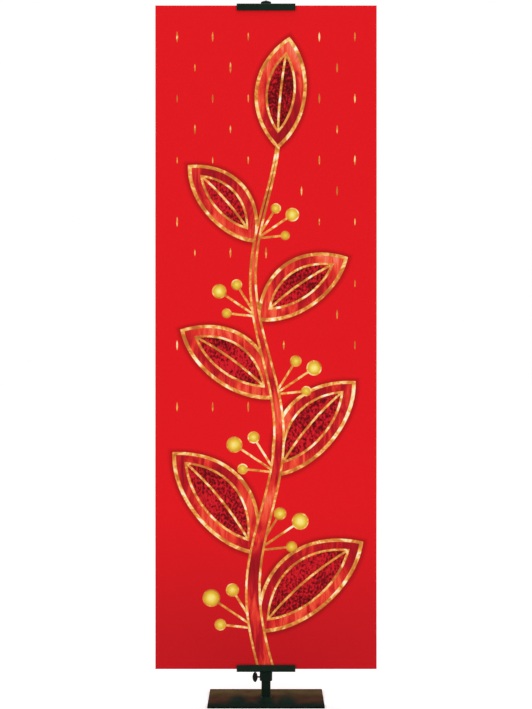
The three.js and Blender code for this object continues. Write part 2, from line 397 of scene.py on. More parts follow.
def channel_pad(name, channel_node, front):
    """The flat pad between a sleeve and a channel's back."""
    low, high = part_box(channel_node)
    middle = (low.z + high.z) / 2
    pad_low = Vector((-PAD_WIDTH / 2, front, middle - PAD_HEIGHT / 2))
    pad_high = Vector((PAD_WIDTH / 2, -COLLAR_RADIUS + PAD_ROOT, middle + PAD_HEIGHT / 2))
    pad = bmesh.new()
    bmesh.ops.create_cube(pad, size=1.0, matrix=filling(pad_low, pad_high))
    ease(pad, sharp_edges(pad), PAD_EDGE, 3)
    return finished(pad, name, [black_paint], "stand", "black_paint")


channel_pad("collar_pad", "bottom_channel", collar_low.y)


# Thumb screw. A die-cast oval paddle, dished on both faces for finger and thumb, on a threaded
# shank that is screwed through the collar and bears on the pole. It is finished in black oxide.
screw_low, screw_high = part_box("thumb_screw")
SCREW_HEIGHT = (screw_low.z + screw_high.z) / 2
PADDLE_WIDTH = 0.0145
PADDLE_RIM = 0.0018
PADDLE_DISH = 0.0009
PADDLE_TAPER = 0.12  # how much the oval narrows to its ends
# Each ring of the dish as a share of the one outside it, and how far it sinks, as a share of its depth
DISH_RINGS = [(0.78, 0), (0.86, 0.55), (0.7, 0.35), (0.5, 0.1)]
SHANK_ROOT = 0.0012  # how far the shank runs into the paddle
THREAD_PITCH = 0.0008
THREAD_CREST = 0.0025
THREAD_ROOT = 0.0021
THREAD_STEPS = 24

black_oxide = sprayed_black(
    "black_oxide",
    ink(16, 28, 21),
    gloss=0.08,
    pebbles=2600.0,
    dull=0.46,
    bright=0.32,
    strength=0.2,
    distance=0.0001,
)

paddle_thickness = screw_high.y - screw_low.y
paddle_length = screw_high.z - screw_low.z
paddle_middle = Vector((screw_low.x + PADDLE_WIDTH / 2, 0, SCREW_HEIGHT))
paddle = bmesh.new()
bmesh.ops.create_circle(
    paddle,
    cap_ends=True,
    segments=64,
    radius=0.5,
    matrix=Matrix.Rotation(math.pi / 2, 4, "X"),
)
bmesh.ops.scale(paddle, vec=(PADDLE_WIDTH, 1, paddle_length), verts=paddle.verts[:])
for corner in paddle.verts:
    corner.co.x *= 1 - PADDLE_TAPER * (2 * corner.co.z / paddle_length) ** 2
raised = bmesh.ops.extrude_face_region(paddle, geom=paddle.faces[:], use_keep_orig=True)["geom"]
bmesh.ops.translate(
    paddle,
    vec=(0, paddle_thickness, 0),
    verts=[item for item in raised if isinstance(item, bmesh.types.BMVert)],
)
bmesh.ops.translate(
    paddle, vec=paddle_middle - Vector((0, paddle_thickness / 2, 0)), verts=paddle.verts[:]
)
bmesh.ops.recalc_face_normals(paddle, faces=paddle.faces[:])
ease(paddle, sharp_edges(paddle), PADDLE_RIM, 4)
for side in (-1, 1):
    face = max(paddle.faces, key=lambda item: (item.normal.y * side > 0.99) * item.calc_area())
    for size, sink in DISH_RINGS:
        inner = bmesh.ops.extrude_discrete_faces(paddle, faces=[face])["faces"][0]
        centre = Matrix.Translation(-inner.calc_center_median())
        bmesh.ops.scale(paddle, vec=(size, 1, size), space=centre, verts=inner.verts[:])
        bmesh.ops.translate(paddle, vec=(0, -side * sink * PADDLE_DISH, 0), verts=inner.verts[:])
        face = inner
finished(paddle, "thumb_screw_paddle", [black_oxide], "clamp_screw", "screw_black", "thumb_screw")

thread_start = paddle_middle.x + PADDLE_WIDTH / 2 - SHANK_ROOT
turns = int((screw_high.x - thread_start) / THREAD_PITCH) - 1
shank = bmesh.new()
zigzag = []
for turn in range(turns + 1):
    zigzag.append((thread_start + turn * THREAD_PITCH, THREAD_ROOT))
    zigzag.append((thread_start + (turn + 0.5) * THREAD_PITCH, THREAD_CREST))
points = [shank.verts.new((x, 0, radius)) for x, radius in zigzag]
edges = [shank.edges.new(pair) for pair in zip(points, points[1:])]
bmesh.ops.spin(
    shank,
    geom=points + edges,
    cent=(0, 0, 0),
    axis=(1, 0, 0),
    dvec=(THREAD_PITCH / THREAD_STEPS, 0, 0),
    angle=2 * math.pi,
    steps=THREAD_STEPS,
    use_merge=False,
    use_duplicate=False,
)
bmesh.ops.remove_doubles(shank, verts=shank.verts[:], dist=SAME_PLACE)
bmesh.ops.holes_fill(shank, edges=[edge for edge in shank.edges if edge.is_boundary], sides=0)
bmesh.ops.translate(shank, vec=(0, 0, SCREW_HEIGHT), verts=shank.verts[:])
finished(shank, "thumb_screw_shank", [black_oxide], "clamp_screw", "screw_black")


# Channels. Each is a strip of sheet steel folded into a narrow trough, cut to length and painted
# with the stand. The lower one opens upwards and the upper one downwards, and each pinches the
# middle of the cloth's edge between its two walls.
CHANNEL_WALL = 0.002
CHANNEL_FOLD = 0.0024
CHANNEL_EDGE = 0.0004


def folded_channel(name, node, opens):
    """A channel that opens up (1) or down (-1), folded from an outer sheet line."""
    low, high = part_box(node)
    lip, web = (high.z, low.z) if opens > 0 else (low.z, high.z)
    line = [(low.y, lip), (low.y, web), (high.y, web), (high.y, lip)]
    strip = bmesh.new()
    points = [strip.verts.new((low.x, y, z)) for y, z in line]
    edges = [strip.edges.new(pair) for pair in zip(points, points[1:])]
    drawn = bmesh.ops.extrude_edge_only(strip, edges=edges)["geom"]
    far = [item for item in drawn if isinstance(item, bmesh.types.BMVert)]
    bmesh.ops.translate(strip, vec=(high.x - low.x, 0, 0), verts=far)
    folds = [edge for edge in strip.edges if len(edge.link_faces) == 2]
    ease(strip, folds, CHANNEL_FOLD, 6)
    bmesh.ops.recalc_face_normals(strip, faces=strip.faces[:])
    middle = Vector((0, (low.y + high.y) / 2, (low.z + high.z) / 2))
    outside = max(strip.faces, key=lambda face: face.calc_area())
    if outside.normal.dot(outside.calc_center_median() - middle) > 0:
        bmesh.ops.reverse_faces(strip, faces=strip.faces[:])
    bmesh.ops.solidify(strip, geom=strip.faces[:], thickness=CHANNEL_WALL)
    bmesh.ops.recalc_face_normals(strip, faces=strip.faces[:])
    ease(strip, sharp_edges(strip), CHANNEL_EDGE, 2)
    return finished(strip, name, [black_paint], "stand", "black_paint", node)


folded_channel("bottom_channel_sheet", "bottom_channel", 1)
folded_channel("top_channel_sheet", "top_channel", -1)


# Pole cap. A turned steel cap that drops over the pole's end: a sleeve like the collar's, then a
# narrower neck under a low dome, with a small button where it was held in the lathe. It carries
# the same welded pad for the upper channel.
cap_low, cap_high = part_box("pole_cap")
NECK_RADIUS = 0.0142
NECK_LENGTH = 0.0131
NECK_ROUND = 0.0006  # radius left by the tool at the neck's foot and at its upper rim
BUTTON_RADIUS = 0.0022
BUTTON_HEIGHT = 0.0018
DOME_RISE = 0.0034
DOME_STEPS = 12
POLE_PLAY = 0.0005  # gap over the pole's end
dome_foot = cap_high.z - BUTTON_HEIGHT - DOME_RISE
cap_step = dome_foot - NECK_LENGTH
bore_top = pole_top + POLE_PLAY
dome = arc((NECK_RADIUS - NECK_ROUND, dome_foot - NECK_ROUND), NECK_ROUND, 0, 60, 3)
for i in range(1, DOME_STEPS + 1):
    radius = NECK_RADIUS + (BUTTON_RADIUS - NECK_RADIUS) * i / DOME_STEPS
    dome.append((radius, dome_foot + DOME_RISE * (1 - (radius / NECK_RADIUS) ** 2)))
cap = turned(
    [(0, bore_top), (COLLAR_BORE, bore_top), (COLLAR_BORE, cap_low.z)]
    + arc((COLLAR_RADIUS - RIM_ROUND, cap_low.z + RIM_ROUND), RIM_ROUND, -90, 0, 4)
    + arc((COLLAR_RADIUS - RIM_ROUND, cap_step - RIM_ROUND), RIM_ROUND, 0, 90, 4)
    + arc((NECK_RADIUS + NECK_ROUND, cap_step + NECK_ROUND), NECK_ROUND, 270, 180, 3)
    + dome
    + arc((BUTTON_RADIUS / 2, cap_high.z - BUTTON_RADIUS / 2), BUTTON_RADIUS / 2, 0, 90, 4)
    + [(0, cap_high.z)],
    POLE_STEPS,
    closed=False,
)
finished(cap, "pole_cap_turned", [black_paint], "stand", "black_paint", "pole_cap")
channel_pad("cap_pad", "top_channel", cap_low.y)


# Banner cloth. One length of smooth plain-woven polyester, printed through with a red ground and a
# climbing vine in gold line and stained-glass reds, and hemmed on all four sides. It hangs nearly
# flat between the channels, with the shallow swells of cloth that was once rolled.
cloth_low, cloth_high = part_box("banner_cloth")
grip_low, grip_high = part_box("top_channel")
CLOTH_WIDTH = cloth_high.x - cloth_low.x
CLOTH_DROP = cloth_high.z - cloth_low.z
CLOTH_PLANE = (grip_low.y + grip_high.y) / 2
CLOTH_FACE = -0.0007  # the printed face lies this far from the plane
SINGLE = 0.0008  # thickness of the single cloth
DOUBLE = 0.0018  # thickness at the hems, folded to the back
SIDE_HEM = 0.010
END_HEM = 0.026
HEM_STEP = 0.0012
CLOTH_COLUMNS = 60
CLOTH_ROWS = 180
HEM_ROUND = 0.0003
PUCKER = 0.0005  # the slight waves that stitching draws into the side hems
PUCKER_REACH = 0.03
PUCKER_WAVE = 0.0074  # length of a wave, over two pi
PUCKER_DRIFT = 0.047  # the same for the slow drift of the waves
SWELL_FADE = 0.1
# Each swell's place and spread, as shares of the width and drop from the lower left corner, and
# its depth in metres, with a positive depth bulging to the back
SWELLS = [
    {"across": 0.10, "up": 0.78, "wide": 0.11, "tall": 0.13, "depth": 0.0026},
    {"across": 0.28, "up": 0.55, "wide": 0.09, "tall": 0.24, "depth": -0.0022},
    {"across": 0.93, "up": 0.66, "wide": 0.10, "tall": 0.17, "depth": -0.0028},
    {"across": 0.74, "up": 0.40, "wide": 0.10, "tall": 0.20, "depth": 0.0024},
    {"across": 0.06, "up": 0.27, "wide": 0.10, "tall": 0.12, "depth": -0.0024},
    {"across": 0.95, "up": 0.19, "wide": 0.11, "tall": 0.10, "depth": 0.0022},
]


def smooth_rise(share):
    """0 up to 0, 1 from 1 on, with a smooth rise between."""
    held = min(1.0, max(0.0, share))
    return held * held * (3 - 2 * held)


def cloth_sway(x, z):
    """How far the cloth lies behind its plane at a place on it."""
    across = (x - cloth_low.x) / CLOTH_WIDTH
    up = (z - cloth_low.z) / CLOTH_DROP
    ends = smooth_rise(up / SWELL_FADE) * smooth_rise((1 - up) / SWELL_FADE)
    sway = 0.0
    for swell in SWELLS:
        sideways = (across - swell["across"]) / swell["wide"]
        upward = (up - swell["up"]) / swell["tall"]
        sway += swell["depth"] * math.exp(-sideways * sideways - upward * upward)
    side = min(x - cloth_low.x, cloth_high.x - x)
    drift = math.sin(z / PUCKER_DRIFT + (3 if x > 0 else 0))
    wave = math.sin(z / PUCKER_WAVE + 2.6 * drift)
    return ends * (sway + PUCKER * wave * smooth_rise(1 - side / PUCKER_REACH))


def hem_share(x, z):
    """1 on a hem, 0 on the single cloth."""
    from_side = min(x - cloth_low.x, cloth_high.x - x) - SIDE_HEM
    from_end = min(z - cloth_low.z, cloth_high.z - z) - END_HEM
    return 1 - smooth_rise(from_side / HEM_STEP) * smooth_rise(from_end / HEM_STEP)


def cloth_face(x, z, front):
    """Where the cloth's printed face or its back lies at a place on it."""
    face = CLOTH_PLANE + CLOTH_FACE + cloth_sway(x, z)
    if front:
        return face
    return face + SINGLE + (DOUBLE - SINGLE) * hem_share(x, z)


cloth = bmesh.new()
bmesh.ops.create_grid(
    cloth,
    x_segments=CLOTH_COLUMNS,
    y_segments=CLOTH_ROWS,
    size=0.5,
    matrix=Matrix.Rotation(math.pi / 2, 4, "X"),
)
bmesh.ops.scale(cloth, vec=(CLOTH_WIDTH, 1, CLOTH_DROP), verts=cloth.verts[:])
bmesh.ops.translate(
    cloth, vec=(0, 0, (cloth_low.z + cloth_high.z) / 2), verts=cloth.verts[:]
)
hem_lines = []
for inset in (0, HEM_STEP):
    hem_lines.append(((cloth_low.x + SIDE_HEM + inset, 0, 0), (1, 0, 0)))
    hem_lines.append(((cloth_high.x - SIDE_HEM - inset, 0, 0), (1, 0, 0)))
    hem_lines.append(((0, 0, cloth_low.z + END_HEM + inset), (0, 0, 1)))
    hem_lines.append(((0, 0, cloth_high.z - END_HEM - inset), (0, 0, 1)))
for place, across in hem_lines:
    everything = cloth.verts[:] + cloth.edges[:] + cloth.faces[:]
    bmesh.ops.bisect_plane(
        cloth, geom=everything, dist=SAME_PLACE, plane_co=place, plane_no=across
    )
bmesh.ops.solidify(cloth, geom=cloth.faces[:], thickness=SINGLE)
depths = [corner.co.y for corner in cloth.verts]
halfway = (min(depths) + max(depths)) / 2
for corner in cloth.verts:
    corner.co.y = cloth_face(corner.co.x, corner.co.z, corner.co.y < halfway)
bmesh.ops.recalc_face_normals(cloth, faces=cloth.faces[:])
ease(cloth, sharp_edges(cloth, math.radians(60)), HEM_ROUND, 2)
for face in cloth.faces:
    face.material_index = 1 if face.normal.y > 0.5 else 0

# The print: a vine that sways up the middle of the cloth, with a leaf and a spray of berries at
# every joint and a bud at its tip
LINE = 0.009  # width of the gold lines
FINE_LINE = 0.006
RIM = 0.024  # streaky glass between a leaf's two gold lines
EDGE_SOFT = 0.0005
STEM_TOP = 1.44
STEM_SWAY = -0.036
STEM_WAVE = 0.86
STEM_FOOT_HALF = 0.024
STEM_TIP_HALF = 0.006
JOINTS = 6
JOINT_FIRST = 0.10
JOINT_STEP = 0.215
BERRY_LIFT = 0.012  # height of a spray's foot above its joint
# The berries of a spray, on the lowest joint, with the tilt of each from upright in degrees
BERRIES = [
    {"reach": 0.15, "tilt": 56, "size": 0.024},
    {"reach": 0.125, "tilt": 32, "size": 0.018},
    {"reach": 0.1, "tilt": 84, "size": 0.016},
]
BERRY_SHRINK = 0.78  # what is left of those sizes on the highest joint


def stem_middle(height):
    """How far the stem lies to the right of the cloth's middle at a height."""
    return STEM_SWAY * math.sin(2 * math.pi * height / STEM_WAVE)


def between(first, last, share):
    """The value at a share of the way from a first to a last one."""
    return first + (last - first) * share


def spread(tree, across, along):
    """The length of the line with these two parts."""
    spoke = add_node(tree, "ShaderNodeCombineXYZ", {"X": across, "Y": along}).outputs[0]
    return add_node(tree, "ShaderNodeVectorMath", {0: spoke}, operation="LENGTH").outputs["Value"]


def turned_to(tree, inputs):
    """The parts of a group's point as seen from its foot, turned by its lean."""
    place = {
        "Vector": inputs["Point"],
        "Location": inputs["Foot"],
        "Rotation": inputs["Lean"],
    }
    local = add_node(tree, "ShaderNodeMapping", place, vector_type="TEXTURE").outputs[0]
    return parts(tree, local)


leaf_group, leaf_in, leaf_out = new_group(
    "printed_leaf",
    {
        "Point": "Vector",
        "Foot": "Vector",
        "Lean": "Vector",
        "Half Length": "Float",
        "Bow": "Float",
        "Bow Middle": "Float",
        "Bend": "Float",
    },
    {"Edge": "Float", "Rib": "Float"},
)
local = turned_to(leaf_group, leaf_in)
along = figure(leaf_group, "SUBTRACT", local["Z"], leaf_in["Half Length"])
share = figure(leaf_group, "DIVIDE", along, leaf_in["Half Length"])
share = figure(leaf_group, "SUBTRACT", 1.0, figure(leaf_group, "MULTIPLY", share, share))
aside = figure(leaf_group, "MULTIPLY_ADD", share, leaf_in["Bend"], local["X"])
aside = figure(leaf_group, "ABSOLUTE", aside)
from_bow = figure(leaf_group, "ADD", aside, leaf_in["Bow Middle"])
edge = figure(leaf_group, "SUBTRACT", spread(leaf_group, from_bow, along), leaf_in["Bow"])
rib = figure(leaf_group, "SUBTRACT", aside, FINE_LINE / 2)
rib = figure(leaf_group, "MAXIMUM", rib, figure(leaf_group, "ADD", edge, LINE + RIM))
leaf_group.links.new(edge, leaf_out["Edge"])
leaf_group.links.new(rib, leaf_out["Rib"])

berry_group, berry_in, berry_out = new_group(
    "printed_berry",
    {"Point": "Vector", "Foot": "Vector", "Lean": "Vector", "Reach": "Float", "Size": "Float"},
    {"Stalk": "Float", "Berry": "Float"},
)
local = turned_to(berry_group, berry_in)
beyond = figure(berry_group, "SUBTRACT", local["Z"], berry_in["Reach"])
past = figure(berry_group, "MAXIMUM", beyond, figure(berry_group, "MULTIPLY", local["Z"], -1.0))
past = figure(berry_group, "MAXIMUM", past, 0.0)
stalk = figure(berry_group, "SUBTRACT", spread(berry_group, local["X"], past), FINE_LINE / 2)
ball = spread(berry_group, local["X"], beyond)
ball = figure(berry_group, "SUBTRACT", ball, berry_in["Size"])
berry_group.links.new(stalk, berry_out["Stalk"])
berry_group.links.new(ball, berry_out["Berry"])

# The whole vine as distances from its leaves, ribs, stem, stalks and berries, negative inside
vine_group, vine_in, vine_out = new_group(
    "printed_vine",
    {"Point": "Vector"},
    {"Leaf": "Float", "Rib": "Float", "Stem": "Float", "Stalk": "Float", "Berry": "Float"},
)
leaves = []
berries = []
for joint in range(JOINTS):
    share = joint / (JOINTS - 1)
    height = JOINT_FIRST + JOINT_STEP * joint
    side = -1 if joint % 2 else 1
    foot = stem_middle(height)
    length = between(0.385, 0.285, share)
    tip = side * between(0.268, 0.215, share)
    leaves.append(
        {
            "foot": (foot, 0.0, height),
            "lean": math.asin((tip - foot) / length),
            "length": length,
            "width": between(0.175, 0.132, share),
            "bend": side * between(0.022, 0.014, share),
        }
    )
    spray_foot = height + BERRY_LIFT
    shrink = between(1.0, BERRY_SHRINK, share)
    for berry in BERRIES:
        berries.append(
            {
                "foot": (stem_middle(spray_foot), 0.0, spray_foot),
                "lean": -side * math.radians(berry["tilt"]),
                "reach": berry["reach"] * shrink,
                "size": berry["size"] * shrink,
            }
        )
leaves.append(
    {
        "foot": (stem_middle(STEM_TOP), 0.0, STEM_TOP - 0.006),
        "lean": math.radians(6),
        "length": 0.31,
        "width": 0.142,
        "bend": 0.008,
    }
)
nearest = {"Edge": None, "Rib": None, "Stalk": None, "Berry": None}


def take_nearest(outputs, *labels):
    """Keeps the smaller of each distance so far and a new one."""
    for label in labels:
        known = nearest[label]
        new = outputs[label]
        nearest[label] = new if known is None else figure(vine_group, "MINIMUM", known, new)


for leaf in leaves:
    half_length = leaf["length"] / 2
    half_width = leaf["width"] / 2
    bow = (half_width**2 + half_length**2) / (2 * half_width)
    outputs = placed(
        vine_group,
        leaf_group,
        {
            "Point": vine_in["Point"],
            "Foot": leaf["foot"],
            "Lean": (0.0, leaf["lean"], 0.0),
            "Half Length": half_length,
            "Bow": bow,
            "Bow Middle": bow - half_width,
            "Bend": leaf["bend"],
        },
    )
    take_nearest(outputs, "Edge", "Rib")
for berry in berries:
    outputs = placed(
        vine_group,
        berry_group,
        {
            "Point": vine_in["Point"],
            "Foot": berry["foot"],
            "Lean": (0.0, berry["lean"], 0.0),
            "Reach": berry["reach"],
            "Size": berry["size"],
        },
    )
    take_nearest(outputs, "Stalk", "Berry")
place = parts(vine_group, vine_in["Point"])
swing = figure(vine_group, "MULTIPLY", place["Z"], 2 * math.pi / STEM_WAVE)
swing = figure(vine_group, "SINE", swing)
aside = figure(vine_group, "MULTIPLY_ADD", swing, -STEM_SWAY, place["X"])
aside = figure(vine_group, "ABSOLUTE", aside)
stem_half = add_node(
    vine_group,
    "ShaderNodeMapRange",
    {
        "Value": place["Z"],
        "From Min": 0.0,
        "From Max": STEM_TOP,
        "To Min": STEM_FOOT_HALF,
        "To Max": STEM_TIP_HALF,
    },
).outputs["Result"]
stem = figure(vine_group, "SUBTRACT", aside, stem_half)
stem = figure(vine_group, "MAXIMUM", stem, figure(vine_group, "SUBTRACT", place["Z"], STEM_TOP))
vine_group.links.new(nearest["Edge"], vine_out["Leaf"])
vine_group.links.new(nearest["Rib"], vine_out["Rib"])
vine_group.links.new(stem, vine_out["Stem"])
vine_group.links.new(nearest["Stalk"], vine_out["Stalk"])
vine_group.links.new(nearest["Berry"], vine_out["Berry"])

# The print's colours over the whole cloth
GROUND = ink(224, 22, 29)
GROUND_FOOT = ink(196, 22, 30)
HAMMERED = [
    (0.0, ink(84, 8, 12)),
    (0.4, ink(128, 12, 20)),
    (0.7, ink(178, 20, 30)),
    (1.0, ink(214, 28, 40)),
]
STREAKS = [
    (0.0, ink(136, 14, 26)),
    (0.38, ink(186, 22, 32)),
    (0.62, ink(226, 52, 42)),
    (0.84, ink(244, 92, 62)),
    (1.0, ink(240, 140, 112)),
]
GOLD = [
    (0.0, ink(188, 108, 44)),
    (0.4, ink(232, 152, 66)),
    (0.68, ink(248, 204, 120)),
    (1.0, ink(255, 248, 214)),
]
DISC = [
    (0.0, ink(188, 134, 30)),
    (0.5, ink(230, 186, 52)),
    (1.0, ink(252, 234, 130)),
]
DISC_DEPTH = 0.021  # how far in from its rim a berry is brightest
DISC_LINE = 0.003
SEED_ACROSS = 0.098
SEED_UP = 0.085
SEED_HALF = 0.0155
SEED_WIDE = 0.0026
SEED_CLEAR = 0.017
SEED_TOP = CLOTH_DROP - 0.05
SEED_SIDE = CLOTH_WIDTH / 2 - 0.02


def filled(tree, distance):
    """A mask that is 1 where a distance is negative."""
    return ranged(tree, distance, EDGE_SOFT, -EDGE_SOFT)


def line(tree, distance, middle, width):
    """A mask of the line of a width along a distance."""
    apart = figure(tree, "ABSOLUTE", figure(tree, "SUBTRACT", distance, middle))
    return filled(tree, figure(tree, "SUBTRACT", apart, width / 2))


def ramped(tree, value, stops):
    """A colour from a list of stops."""
    node = add_node(tree, "ShaderNodeValToRGB", {"Fac": value})
    ramp = node.color_ramp
    ramp.elements[0].position, ramp.elements[0].color = stops[0]
    ramp.elements[1].position, ramp.elements[1].color = stops[-1]
    for position, colour in stops[1:-1]:
        ramp.elements.new(position).color = colour
    return node.outputs["Color"]


def any_of(tree, *masks):
    """The union of masks."""
    union = masks[0]
    for mask in masks[1:]:
        union = figure(tree, "MAXIMUM", union, mask)
    return union


print_group, print_in, print_out = new_group(
    "vine_print", {"Point": "Vector"}, {"Color": "Color", "Gold": "Float"}
)
point = print_in["Point"]
place = parts(print_group, point)
vine = placed(print_group, vine_group, {"Point": point})

# Seeds in a half-drop repeat, only where they fall clear of the vine, and fewer lower down
row = figure(print_group, "FLOOR", figure(print_group, "DIVIDE", place["Z"], SEED_UP))
shift = figure(print_group, "MULTIPLY", figure(print_group, "MODULO", row, 2.0), SEED_ACROSS / 2)
shifted = figure(print_group, "ADD", place["X"], shift)
column = figure(print_group, "FLOOR", figure(print_group, "DIVIDE", shifted, SEED_ACROSS))
seed_x = figure(print_group, "MULTIPLY_ADD", column, SEED_ACROSS, SEED_ACROSS / 2)
seed_x = figure(print_group, "SUBTRACT", seed_x, shift)
seed_z = figure(print_group, "MULTIPLY_ADD", row, SEED_UP, SEED_UP / 2)
seed_middle = add_node(print_group, "ShaderNodeCombineXYZ", {"X": seed_x, "Z": seed_z}).outputs[0]
around = placed(print_group, vine_group, {"Point": seed_middle})
clear = around["Leaf"]
for label in ("Stem", "Berry", "Stalk"):
    clear = figure(print_group, "MINIMUM", clear, around[label])
clear = figure(print_group, "GREATER_THAN", clear, SEED_CLEAR)
chance = add_node(print_group, "ShaderNodeTexWhiteNoise", {"Vector": seed_middle}).outputs["Value"]
wanted = ranged(print_group, seed_z, 0.3, 1.3)
below_top = figure(print_group, "LESS_THAN", seed_z, SEED_TOP)
wanted = figure(print_group, "MULTIPLY", wanted, below_top)
inside = figure(print_group, "LESS_THAN", figure(print_group, "ABSOLUTE", seed_x), SEED_SIDE)
wanted = figure(print_group, "MULTIPLY", wanted, inside)
kept = figure(print_group, "MULTIPLY", clear, figure(print_group, "LESS_THAN", chance, wanted))
size = figure(print_group, "MULTIPLY_ADD", chance, -0.4, 1.0)
seed_bow = (SEED_WIDE**2 + SEED_HALF**2) / (2 * SEED_WIDE)
from_seed = figure(print_group, "ABSOLUTE", figure(print_group, "SUBTRACT", place["X"], seed_x))
from_seed = figure(print_group, "DIVIDE", from_seed, size)
from_seed = figure(print_group, "ADD", from_seed, seed_bow - SEED_WIDE)
above_seed = figure(print_group, "SUBTRACT", place["Z"], seed_z)
above_seed = figure(print_group, "DIVIDE", above_seed, size)
seeds = figure(print_group, "SUBTRACT", spread(print_group, from_seed, above_seed), seed_bow)
seeds = figure(print_group, "MULTIPLY", filled(print_group, seeds), kept)

# Red ground, darker at the foot and close round the vine
lift = ranged(print_group, place["Z"], 0.03, 0.50)
colour = mixed(print_group, lift, GROUND_FOOT, GROUND)
shade = ranged(print_group, vine["Leaf"], 0.0, 0.016, 0.62, 1.0)
colour = mixed(print_group, 1.0, colour, shade, "MULTIPLY")

# Streaky glass, its swirls drawn out along the rising leaves and its tone changing from pane to pane
drawn = mapped(
    print_group, point, Rotation=(0.0, math.radians(28), 0.0), Scale=(1.0, 1.0, 0.22)
)
swirls = noise(print_group, drawn, 46.0, detail=4.0, roughness=0.55, distortion=1.1)
swirls = figure(print_group, "MULTIPLY", swirls, 0.75)
tone = noise(print_group, point, 5.0, detail=1.0)
swirls = figure(print_group, "MULTIPLY_ADD", tone, 0.95, swirls)
streaky = ramped(print_group, ranged(print_group, swirls, 0.5, 1.2), STREAKS)

# Hammered glass: close dimples, each lit at one side, with slow changes of depth
dimpled = mapped(print_group, point, Scale=(1.0, 1.0, 0.75))
dimples = noise(print_group, dimpled, 165.0, detail=1.0, distortion=0.3)
dimples = figure(print_group, "SUBTRACT", dimples, 0.275)
broad = noise(print_group, point, 9.0, detail=1.0)
dimples = figure(print_group, "MULTIPLY_ADD", broad, 0.55, dimples)
hammered = ramped(print_group, ranged(print_group, dimples, 0.24, 0.72), HAMMERED)

glints = noise(print_group, point, 26.0, detail=3.0, roughness=0.65, distortion=0.8)
gold = ramped(print_group, ranged(print_group, glints, 0.34, 0.72), GOLD)

# Painted from the back: stalks, leaves with their panes and lines, the stem over them, the berries
stalk = filled(print_group, vine["Stalk"])
colour = mixed(print_group, any_of(print_group, stalk, seeds), colour, gold)
colour = mixed(print_group, filled(print_group, vine["Leaf"]), colour, streaky)
panel = filled(print_group, figure(print_group, "ADD", vine["Leaf"], LINE + RIM))
colour = mixed(print_group, panel, colour, hammered)
outer_line = line(print_group, vine["Leaf"], -LINE / 2, LINE)
inner_line = line(print_group, vine["Leaf"], -LINE - RIM, FINE_LINE)
leaf_lines = any_of(print_group, outer_line, inner_line, filled(print_group, vine["Rib"]))
colour = mixed(print_group, leaf_lines, colour, gold)
stem_inside = filled(print_group, vine["Stem"])
colour = mixed(print_group, stem_inside, colour, streaky)
stem_line = line(print_group, vine["Stem"], -FINE_LINE / 2, FINE_LINE)
colour = mixed(print_group, stem_line, colour, gold)
berry = filled(print_group, vine["Berry"])
disc = ranged(print_group, vine["Berry"], 0.0, -DISC_DEPTH)
disc = figure(print_group, "MULTIPLY", disc, 0.75)
disc = figure(print_group, "MULTIPLY_ADD", glints, 0.5, disc)
colour = mixed(print_group, berry, colour, ramped(print_group, disc, DISC))
berry_line = line(print_group, vine["Berry"], -DISC_LINE / 2, DISC_LINE)
colour = mixed(print_group, berry_line, colour, gold)
all_gold = any_of(print_group, leaf_lines, stem_line, stalk, seeds, berry)
print_group.links.new(colour, print_out["Color"])
print_group.links.new(all_gold, print_out["Gold"])

# Plain weave, for both faces of the cloth: warp over weft, thread by thread
THREAD = 0.00055
BARE_BACK = ink(226, 92, 88)  # the cloth's back where little ink comes through
weave_group, weave_in, weave_out = new_group(
    "plain_weave", {"Vector": "Vector"}, {"Height": "Float", "Shade": "Float"}
)
threads = add_node(
    weave_group,
    "ShaderNodeVectorMath",
    {0: weave_in["Vector"], "Scale": math.pi / THREAD},
    operation="SCALE",
).outputs[0]
threads = parts(weave_group, threads)
warp = figure(weave_group, "ABSOLUTE", figure(weave_group, "SINE", threads["X"]))
weft = figure(weave_group, "ABSOLUTE", figure(weave_group, "SINE", threads["Z"]))
over_warp = figure(weave_group, "SINE", figure(weave_group, "MULTIPLY", threads["X"], 0.5))
over_weft = figure(weave_group, "SINE", figure(weave_group, "MULTIPLY", threads["Z"], 0.5))
over = ranged(weave_group, figure(weave_group, "MULTIPLY", over_warp, over_weft), -0.2, 0.2)
height = add_node(weave_group, "ShaderNodeMix", {0: over, 2: warp, 3: weft}).outputs[0]
# Painted shade: the whole cloth darkened by about a fifth for the hollows between threads, the crowns
# of the threads a little lighter, and slubs varying the tone
slubs_and_hollow_shade = noise(weave_group, weave_in["Vector"], 240.0, detail=2.0)
slubs_and_hollow_shade = ranged(weave_group, slubs_and_hollow_shade, 0.2, 0.8, 0.79, 0.845)
shade = figure(weave_group, "ADD", figure(weave_group, "MULTIPLY", height, 0.04), slubs_and_hollow_shade)
weave_group.links.new(height, weave_out["Height"])
weave_group.links.new(shade, weave_out["Shade"])


def printed_cloth(name, show_through):
    """The cloth's finish, with the print paler by the share that the back shows."""
    material, tree, shader, point = new_material(
        name, Specular_IOR_Level=0.06, Sheen_Weight=0.02, Sheen_Roughness=0.4
    )
    own = mapped(tree, point, Location=(0.0, 0.0, -cloth_low.z))
    printed = placed(tree, print_group, {"Point": own})
    weave = placed(tree, weave_group, {"Vector": own})
    colour = mixed(tree, show_through, printed["Color"], BARE_BACK)
    tree.links.new(mixed(tree, 1.0, colour, weave["Shade"], "MULTIPLY"), shader["Base Color"])
    tree.links.new(ranged(tree, printed["Gold"], 0.0, 1.0, 0.8, 0.62), shader["Roughness"])
    tree.links.new(bumped(tree, weave["Height"], 0.25, 0.0002), shader["Normal"])
    return material


cloth_front = printed_cloth("printed_face", 0.0)
cloth_back = printed_cloth("print_seen_from_behind", 0.3)
banner = finished(
    cloth, "banner_cloth_sheet", [cloth_front, cloth_back], "stand", "printed_cloth", "banner_cloth"
)


